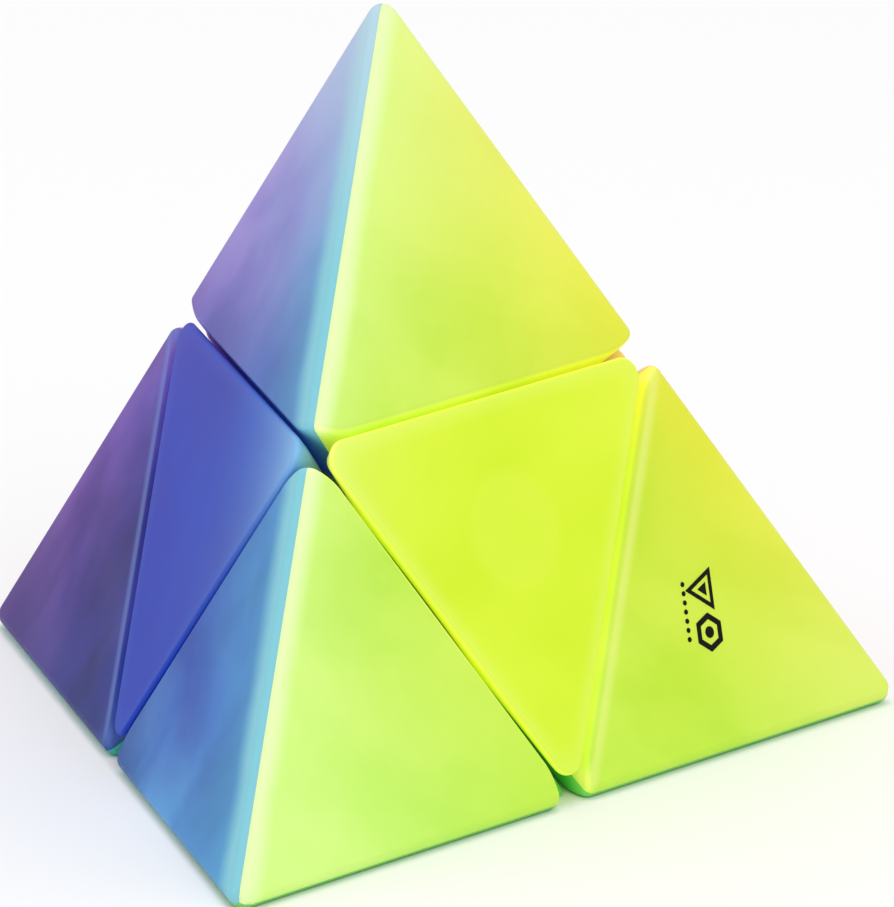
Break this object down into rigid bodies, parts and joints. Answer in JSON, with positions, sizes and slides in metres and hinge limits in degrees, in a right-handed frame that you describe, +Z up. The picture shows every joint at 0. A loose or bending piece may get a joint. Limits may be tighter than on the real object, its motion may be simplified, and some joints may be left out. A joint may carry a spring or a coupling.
{
  "type": "pyramid twisty puzzle",
  "caption": "Tetrahedral twisty puzzle with translucent coloured pieces whose halves turn about axes through the middles of opposite edges.",
  "frame": {"origin": "middle of the flat base face, which it stands on", "axes": "+Z up to the apex, -Y to the front corner, +X to the right corner's side; the turning centre of all joints is on +Z"},
  "size_m": [0.0706, 0.0617, 0.0581],
  "materials": {
    "lime_plastic": "translucent lime plastic, moulded in colour, satin gloss",
    "blue_plastic": "translucent blue plastic, moulded in colour, satin gloss",
    "rose_plastic": "translucent rose plastic, moulded in colour, satin gloss",
    "green_plastic": "translucent green plastic, moulded in colour, satin gloss",
    "milky_plastic": "milky translucent plastic, smooth and slippery",
    "core_plastic": "milky plastic, matte",
    "screw_steel": "zinc-plated steel",
    "spring_steel": "bright spring wire"
  },
  "bodies": {
    "base": {"green_centre_shell": "green_plastic", "green_centre_foot": "milky_plastic", "base_fixing_screw": "screw_steel", "core": "core_plastic", "fixed_centre_base_back": "milky_plastic", "fixed_centre_base_left": "milky_plastic", "fixed_centre_base_right": "milky_plastic", "inner_edge_base_back_base_left": "milky_plastic", "inner_edge_base_back_base_right": "milky_plastic", "inner_edge_base_left_base_right": "milky_plastic", "screw_front": "screw_steel", "screw_right": "screw_steel", "screw_left": "screw_steel", "washer_front": "screw_steel", "washer_right": "screw_steel", "washer_left": "screw_steel", "spring_front": "spring_steel", "spring_right": "spring_steel", "spring_left": "spring_steel"},
    "front_layer": {"front_shell_lime": "lime_plastic", "front_shell_blue": "blue_plastic", "front_shell_green": "green_plastic", "front_foot": "milky_plastic", "turning_centre_front": "milky_plastic", "inner_edge_front_base_left": "milky_plastic", "inner_edge_front_base_right": "milky_plastic"},
    "right_layer": {"right_shell_lime": "lime_plastic", "right_shell_rose": "rose_plastic", "right_shell_green": "green_plastic", "right_foot": "milky_plastic", "turning_centre_right": "milky_plastic", "inner_edge_base_back_right": "milky_plastic", "inner_edge_right_base_right": "milky_plastic"},
    "left_layer": {"left_shell_blue": "blue_plastic", "left_shell_rose": "rose_plastic", "left_shell_green": "green_plastic", "left_foot": "milky_plastic", "turning_centre_left": "milky_plastic", "inner_edge_base_back_left": "milky_plastic", "inner_edge_base_left_left": "milky_plastic"},
    "front_right_quarter": {"lime_centre_shell": "lime_plastic", "lime_centre_foot": "milky_plastic", "inner_edge_front_right": "milky_plastic"},
    "front_left_quarter": {"blue_centre_shell": "blue_plastic", "blue_centre_foot": "milky_plastic", "inner_edge_front_left": "milky_plastic"},
    "right_left_quarter": {"rose_centre_shell": "rose_plastic", "rose_centre_foot": "milky_plastic", "inner_edge_right_left": "milky_plastic"},
    "apex_corner": {"apex_shell_lime": "lime_plastic", "apex_shell_blue": "blue_plastic", "apex_shell_rose": "rose_plastic", "apex_foot": "milky_plastic"}
  },
  "joints": [
    {"name": "front_layer_turn", "type": "hinge", "parent": "base", "child": "front_layer", "pos_m": [0, 0, 0.01511], "axis": [0, -0.8165, 0.5774], "continuous": true},
    {"name": "right_layer_turn", "type": "hinge", "parent": "base", "child": "right_layer", "pos_m": [0, 0, 0.01511], "axis": [0.7071, 0.4082, 0.5774], "range_deg": [-360, 360]},
    {"name": "left_layer_turn", "type": "hinge", "parent": "base", "child": "left_layer", "pos_m": [0, 0, 0.01511], "axis": [-0.7071, 0.4082, 0.5774], "range_deg": [-360, 360]},
    {"name": "front_right_with_right", "type": "hinge", "parent": "front_layer", "child": "front_right_quarter", "pos_m": [0, 0, 0.01511], "axis": [0.7071, 0.4082, 0.5774], "range_deg": [-360, 360]},
    {"name": "front_left_with_left", "type": "hinge", "parent": "front_layer", "child": "front_left_quarter", "pos_m": [0, 0, 0.01511], "axis": [-0.7071, 0.4082, 0.5774], "range_deg": [-360, 360]},
    {"name": "right_left_with_left", "type": "hinge", "parent": "right_layer", "child": "right_left_quarter", "pos_m": [0, 0, 0.01511], "axis": [-0.7071, 0.4082, 0.5774], "range_deg": [-360, 360]},
    {"name": "apex_with_left", "type": "hinge", "parent": "front_right_quarter", "child": "apex_corner", "pos_m": [0, 0, 0.01511], "axis": [-0.7071, 0.4082, 0.5774], "range_deg": [-360, 360]}
  ],
  "couplings": [
    {"joint": "front_right_with_right", "follows": "right_layer_turn", "ratio": 1},
    {"joint": "front_left_with_left", "follows": "left_layer_turn", "ratio": 1},
    {"joint": "right_left_with_left", "follows": "left_layer_turn", "ratio": 1},
    {"joint": "apex_with_left", "follows": "left_layer_turn", "ratio": 1}
  ]
}
